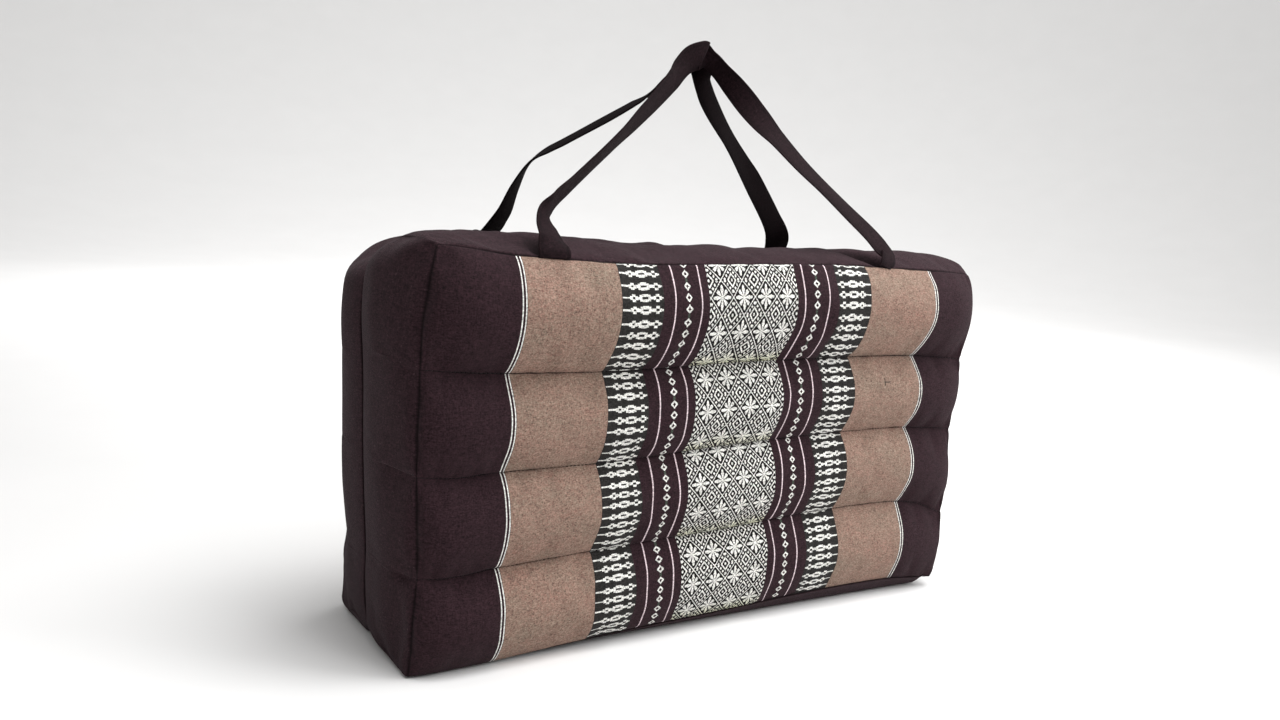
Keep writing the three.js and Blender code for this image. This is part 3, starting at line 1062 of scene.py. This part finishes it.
def build_stitches(name, cushion, pad, sizes, material):
    """The rows of stitches that quilt a pad into channels, laid on its finished cloth."""
    form = PadForm(sizes, pad)
    seat = form.seat()
    outward = (seat.to_3x3() @ Vector((0, -1, 0))).normalized()
    cloth = BVHTree.FromObject(cushion, bpy.context.evaluated_depsgraph_get())
    bm = bmesh.new()
    bmesh.ops.create_uvsphere(bm, u_segments=8, v_segments=6, radius=1)
    corners = bm.verts[:]
    pattern = corners + bm.edges[:] + bm.faces[:]
    length, thick = (size * MM / 2 for size in STITCH_SIZE)
    for line in range(1, len(CROWNS)):
        row = line * ROWS_PER_CHANNEL
        for number in range(1, STITCHES_PER_LINE - 1):
            ends = [seat @ form.point((number + part) / STITCHES_PER_LINE * 2 - 1, 0, row)
                    for part in (0.1, 0.9)]
            middle = (ends[0] + ends[1]) / 2
            place, off, _, _ = cloth.ray_cast(middle + outward * 0.03, -outward)
            if place is None:
                continue
            way = (ends[1] - ends[0]).normalized()
            side = off.cross(way).normalized()
            turn = Matrix((way, side, way.cross(side))).transposed().to_4x4()
            shape = Matrix.Diagonal((length, thick, thick, 1))
            copied = bmesh.ops.duplicate(bm, geom=pattern)["geom"]
            moved = [part for part in copied if isinstance(part, bmesh.types.BMVert)]
            bmesh.ops.transform(bm, matrix=Matrix.Translation(place) @ turn @ shape, verts=moved)
    bmesh.ops.delete(bm, geom=corners)
    lay_uv(bm, lambda vertex: (vertex.co.x, vertex.co.y + vertex.co.z))
    bmesh.ops.recalc_face_normals(bm, faces=bm.faces)
    return make_object(bm, name, [material])


def paint_seam_and_crease_shade(bm, seats, on_seam):
    """Paints shade, full on seams and by depth in creases, and creases the seams themselves."""
    # The seam attribute carries painted shade for the finishes to read.
    painted_shade = bm.verts.layers.float.new("seam")
    crease = bm.edges.layers.float.new("crease_edge")
    for vertex in bm.verts:
        seat = seats[vertex.index]
        shade = 0.0
        # Painted shade: full on the seams and sewn lines, and in a crease by its depth, darkest in
        # the pocket beside the right strap's foot.
        if vertex.index in on_seam or on_sewn_line(seat):
            shade = 1.0
        elif 0 < seat[1] < 0.9:
            shade = clamp(crease_depth(vertex.co) / FULL_CREASE - FAINT_CREASE) * CREASE_SHADE
        vertex[painted_shade] = shade
    for edge in bm.edges:
        if all(vertex.index in on_seam for vertex in edge.verts):
            edge[crease] = 0.7


def lay_cloth(bm, form, seats):
    """Gives each face its place on the cloth, in metres, and its material."""
    uv = bm.loops.layers.uv.new("cloth")
    for face in bm.faces:
        spots = [seats[vertex.index] for vertex in face.verts]
        on_panel = all(spot[1] == 0 for spot in spots)
        on_back = all(spot[1] == 1 for spot in spots)
        on_end = all(abs(spot[0]) == 1 for spot in spots)
        face.material_index = 0 if on_panel else 1
        channel_index = min(min(spot[2] for spot in spots) // ROWS_PER_CHANNEL, len(CROWNS) - 1)
        channel = form.channels[channel_index]
        for loop in face.loops:
            row = seats[loop.vert.index][2]
            if on_panel:
                cloth = (row - channel_index * ROWS_PER_CHANNEL) / ROWS_PER_CHANNEL
                place = (loop.vert.co.x, blend(*channel.weave, ease(cloth)))
            elif on_back or on_end:
                place = (loop.vert.co.y if on_end else loop.vert.co.x, loop.vert.co.z)
            else:
                place = (loop.vert.co.x, loop.vert.co.y)
            loop[uv].uv = (place[0] * MM, place[1] * MM)


# --- straps and hinge ---

# A smooth curve through points is blended in three rounds: the knots between which each round's
# blends run.
BLENDS = (((0, 1), (1, 2), (2, 3)), ((0, 2), (1, 3)), ((1, 2),))


def curve_through(points, share):
    """A place on a smooth curve through the points, at a share of the way."""
    last = len(points) - 1
    scaled = clamp(share) * last
    index = min(int(scaled), last - 1)
    places = [points[clamp(i, 0, last)] for i in range(index - 1, index + 3)]
    pairs = zip(places, places[1:])
    knots = [0.0, *accumulate(max((b - a).length, 1e-6) ** 0.5 for a, b in pairs)]
    where = blend(knots[1], knots[2], scaled - index)
    for spans in BLENDS:
        shares = [(where - knots[start]) / (knots[end] - knots[start]) for start, end in spans]
        places = [blend(*ends) for ends in zip(places, places[1:], shares)]
    return places[0]


class StrapPath:
    """The middle line of a strap, evenly spaced by length, with its way across."""

    SAMPLES = 1200

    def __init__(self, stations):
        self.points = [Vector(station[0]) for station in stations]
        self.ways = [Vector(station[1]).normalized() for station in stations]
        self.shares = [Vector(((*station, 1.0)[2], 0, 0)) for station in stations]
        places = [curve_through(self.points, i / self.SAMPLES) for i in range(self.SAMPLES + 1)]
        steps = ((other - one).length for one, other in zip(places, places[1:]))
        self.lengths = [0.0, *accumulate(steps)]
        self.length = self.lengths[-1]

    def share_at(self, distance):
        """The share of the stations passed at a distance along the strap."""
        low = clamp(bisect_right(self.lengths, distance) - 1, 0, self.SAMPLES - 1)
        before, after = self.lengths[low:low + 2]
        return (low + (distance - before) / max(after - before, 1e-9)) / self.SAMPLES

    def at(self, share):
        """The middle of the strap, the ways across it and off its face, and its share of width."""
        place = self.share_at(share * self.length)
        step = 2.0 / self.SAMPLES
        ahead = curve_through(self.points, min(place + step, 1))
        behind = curve_through(self.points, max(place - step, 0))
        tangent = (ahead - behind).normalized()
        way = curve_through(self.ways, place)
        way = (way - tangent * way.dot(tangent)).normalized()
        share = curve_through(self.shares, place)[0]
        return curve_through(self.points, place), way, tangent.cross(way), share


def build_strap(name, stations, sizes, material):
    """A folded, sewn strap: a flat block swept along its stations."""
    path = StrapPath(stations)
    width = sizes.width / MM
    thickness = sizes.thickness / MM
    bm = block_grid((sizes.steps, 10, 2))
    bm.verts.index_update()
    seats = {vertex.index: vertex.co.copy() for vertex in bm.verts}
    painted_shade = bm.verts.layers.float.new("seam")
    foot_y = stations[0][0][1]
    for vertex in bm.verts:
        along, across, through = seats[vertex.index]
        middle, way, off, share = path.at(along + 0.5)
        distance = (along + 0.5) * path.length
        across = math.sin(math.pi * across) * 0.5
        edge = abs(across) * 2
        roll = ripple(distance * 0.03, foot_y, 1.5) * 0.8
        cup = ripple(distance * 0.02, 3.5, foot_y) * 1.2
        groove = hill(edge - 0.82, 0.07)
        full = thickness * (1 - 0.45 * smooth_step(0.88, 1.0, edge) - 0.25 * groove)
        lift = cup * (1 - edge * edge) + roll * 0.4 * across
        vertex.co = middle + way * (across * width * share) + off * (through * full + lift)
        # Painted shade along the stitched groove near each edge, carried on the seam attribute.
        vertex[painted_shade] = groove * 0.5

    def place(vertex):
        along, across, through = seats[vertex.index]
        return (across * width + through * 40) * MM, along * path.length * MM

    lay_uv(bm, place)
    bmesh.ops.scale(bm, vec=(MM, MM, MM), verts=bm.verts)
    return make_object(bm, name, [material]), path.length * MM


def build_hinge(material):
    """The cloth strip in the groove under the fold: an inverted V of one layer."""
    low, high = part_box("hinge_strip")
    length = high.x - low.x
    reach = high.y
    apex = high.z
    bm = bmesh.new()
    bmesh.ops.create_grid(bm, x_segments=92, y_segments=12, size=0.5)
    slope = math.hypot(reach, apex)
    lay_uv(bm, lambda vertex: (vertex.co.x * length, vertex.co.y * 2 * slope))
    for vertex in bm.verts:
        along, across, _ = vertex.co
        sag = ripple(along * 14, across * 2, 0.5) * 0.3 * MM
        fold = (abs(across) * 2) ** 1.15
        vertex.co.x = along * length
        vertex.co.y = across * 2 * (reach - HINGE_THICKNESS)
        rise = (apex - HINGE_THICKNESS * 1.5) * (1 - fold)
        vertex.co.z = rise + HINGE_THICKNESS * 1.1 + sag * (1 - fold)
    bmesh.ops.solidify(bm, geom=bm.faces[:], thickness=HINGE_THICKNESS)
    bmesh.ops.recalc_face_normals(bm, faces=bm.faces)
    bm.verts.layers.float.new("seam")
    return make_object(bm, "hinge_cloth", [material]), (2 * slope, length)


# --- operators ---

class CUSHION_OT_stage(bpy.types.Operator):
    """Lays the pale floor and sets the soft light and the camera"""

    bl_idname = "cushion.stage"
    bl_label = "Stage, light and camera"

    def execute(self, context):
        scene = context.scene
        self.lay_floor()
        self.set_light(scene)
        self.set_camera(scene)
        scene.view_settings.view_transform = "Standard"
        return {"FINISHED"}

    def lay_floor(self):
        bm = bmesh.new()
        rim = [(FLOOR_RADIUS * blend(1.0, 2.0, math.sin(turn)), FLOOR_RADIUS * (1 - math.cos(turn)))
               for turn in (math.radians(step * 8) for step in range(11))]
        profile = [bm.verts.new((reach, 0, height)) for reach, height in [(0, 0), *rim]]
        edges = [bm.edges.new(pair) for pair in zip(profile, profile[1:])]
        bmesh.ops.spin(bm, geom=profile + edges, axis=(0, 0, 1), cent=(0, 0, 0), steps=72,
                       angle=math.tau, use_merge=True)
        bmesh.ops.remove_doubles(bm, verts=bm.verts, dist=1e-5)
        bmesh.ops.recalc_face_normals(bm, faces=bm.faces)
        bmesh.ops.reverse_faces(bm, faces=[f for f in bm.faces if f.normal.z < 0])
        finish = Finish("floor_paint")
        place = finish.node("ShaderNodeTexCoord")
        fleck = finish.cloud(place.outputs["Object"], 6.0, 3.0)
        paint = finish.lit((0.80, 0.798, 0.795), 0.98 + fleck * 0.04)
        finish.feed(finish.shader,
                    {"Base Color": paint, "Roughness": 0.9, "Specular IOR Level": 0.1})
        make_object(bm, "floor", [finish.material])

    def set_light(self, scene):
        world = bpy.data.worlds.new("soft_room")
        world.use_nodes = True
        scene.world = world
        background = world.node_tree.nodes["Background"]
        background.inputs["Color"].default_value = (1.0, 0.99, 0.98, 1.0)
        background.inputs["Strength"].default_value = WORLD_STRENGTH
        for name, place, aim, size, energy in SOFTBOXES:
            lamp = bpy.data.lights.new(name, "AREA")
            lamp.size = size
            lamp.energy = energy
            softbox = bpy.data.objects.new(name, lamp)
            softbox.location = place
            beam = Vector(aim) - softbox.location
            softbox.rotation_euler = beam.to_track_quat("-Z", "Y").to_euler()
            scene.collection.objects.link(softbox)

    def set_camera(self, scene):
        view = scene.cushion_view
        lens = bpy.data.cameras.new("camera")
        lens.lens = view.lens
        lens.sensor_width = 36.0
        lens.clip_end = 60.0
        camera = bpy.data.objects.new("camera", lens)
        turn = (Matrix.Rotation(view.roll, 3, "Y") @ Matrix.Rotation(view.elevation, 3, "X")
                @ Matrix.Rotation(view.azimuth, 3, "Z"))
        right, forward, up = turn
        facing = Matrix((right, up, -forward)).transposed()
        camera.matrix_world = Matrix.Translation(view.place) @ facing.to_4x4()
        scene.collection.objects.link(camera)
        scene.camera = camera


class CUSHION_OT_pads(bpy.types.Operator):
    """Sews and fills the two boxed, channel-quilted pads"""

    bl_idname = "cushion.pads"
    bl_label = "Front and rear pads"

    def execute(self, context):
        sizes = context.scene.cushion_sizes
        colours = context.scene.cushion_colours
        panel = finish_named("panel_weave", make_panel_finish, colours)
        plain = finish_named("boxing_cotton", make_plain_finish, colours)
        for name, pad in PADS.items():
            piece = build_pad(f"{name}_cushion", pad, sizes, [panel, plain])
            add_subdivision(piece, 1)
            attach(piece, "root")
            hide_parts(pad["node"])
        return {"FINISHED"}


class CUSHION_OT_stitches(bpy.types.Operator):
    """Lays the quilting stitches along the channels of both pads"""

    bl_idname = "cushion.stitches"
    bl_label = "Quilting stitches"

    def execute(self, context):
        sizes = context.scene.cushion_sizes
        thread = finish_named("sewing_thread", make_thread_finish, context.scene.cushion_colours)
        for name, pad in PADS.items():
            cushion = bpy.data.objects[f"{name}_cushion"]
            piece = build_stitches(f"{name}_stitches", cushion, pad, sizes, thread)
            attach(piece, "root")
        return {"FINISHED"}


class CUSHION_OT_hinge(bpy.types.Operator):
    """Cuts the cloth hinge that joins the pads under the fold"""

    bl_idname = "cushion.hinge"
    bl_label = "Hinge cloth"

    def execute(self, context):
        colours = context.scene.cushion_colours
        plain = finish_named("boxing_cotton", make_plain_finish, colours)
        piece, flat = build_hinge(plain)
        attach(piece, "root")
        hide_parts("hinge_strip")
        return {"FINISHED"}


class CUSHION_OT_straps(bpy.types.Operator):
    """Sews the two carry straps and draws them up to their peak"""

    bl_idname = "cushion.straps"
    bl_label = "Carry straps"

    def execute(self, context):
        sizes = context.scene.cushion_straps
        colours = context.scene.cushion_colours
        for name, stations, shade in STRAPS:
            # Each strap's cotton is the same brown with its own painted shade.
            finish_name = f"{name}_strap_cotton"
            cloth = finish_named(finish_name, make_plain_finish, colours, finish_name, shade, 0.4)
            piece, length = build_strap(f"{name}_strap", stations, sizes, cloth)
            add_subdivision(piece, 1)
            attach(piece, "root")
            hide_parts(f"{name}_handle")
        return {"FINISHED"}


class CUSHION_PT_panel(bpy.types.Panel):
    """Lists the steps that build the cushion"""

    bl_idname = "CUSHION_PT_panel"
    bl_label = "Folding cushion"
    bl_space_type = "VIEW_3D"
    bl_region_type = "UI"
    bl_category = "Cushion"

    def draw(self, context):
        for group in GROUPS:
            settings = getattr(context.scene, group)
            box = self.layout.box()
            for name in settings.__annotations__:
                box.prop(settings, name)
        for step in STEPS:
            self.layout.operator(step.bl_idname)


STEPS = (CUSHION_OT_stage, CUSHION_OT_pads, CUSHION_OT_stitches, CUSHION_OT_hinge,
         CUSHION_OT_straps)
GROUPS = {
    "cushion_sizes": CushionSizes,
    "cushion_straps": StrapSizes,
    "cushion_colours": ClothColours,
    "cushion_view": StageView,
}
CLASSES = (*GROUPS.values(), *STEPS, CUSHION_PT_panel)


def register():
    for item in CLASSES:
        bpy.utils.register_class(item)
    for name, group in GROUPS.items():
        setattr(bpy.types.Scene, name, PointerProperty(type=group))


def unregister():
    for name in GROUPS:
        delattr(bpy.types.Scene, name)
    for item in reversed(CLASSES):
        bpy.utils.unregister_class(item)


def main():
    register()
    bpy.ops.cushion.stage()
    bpy.ops.cushion.pads()
    bpy.ops.cushion.stitches()
    bpy.ops.cushion.hinge()
    bpy.ops.cushion.straps()


if __name__ == "__main__":
    main()
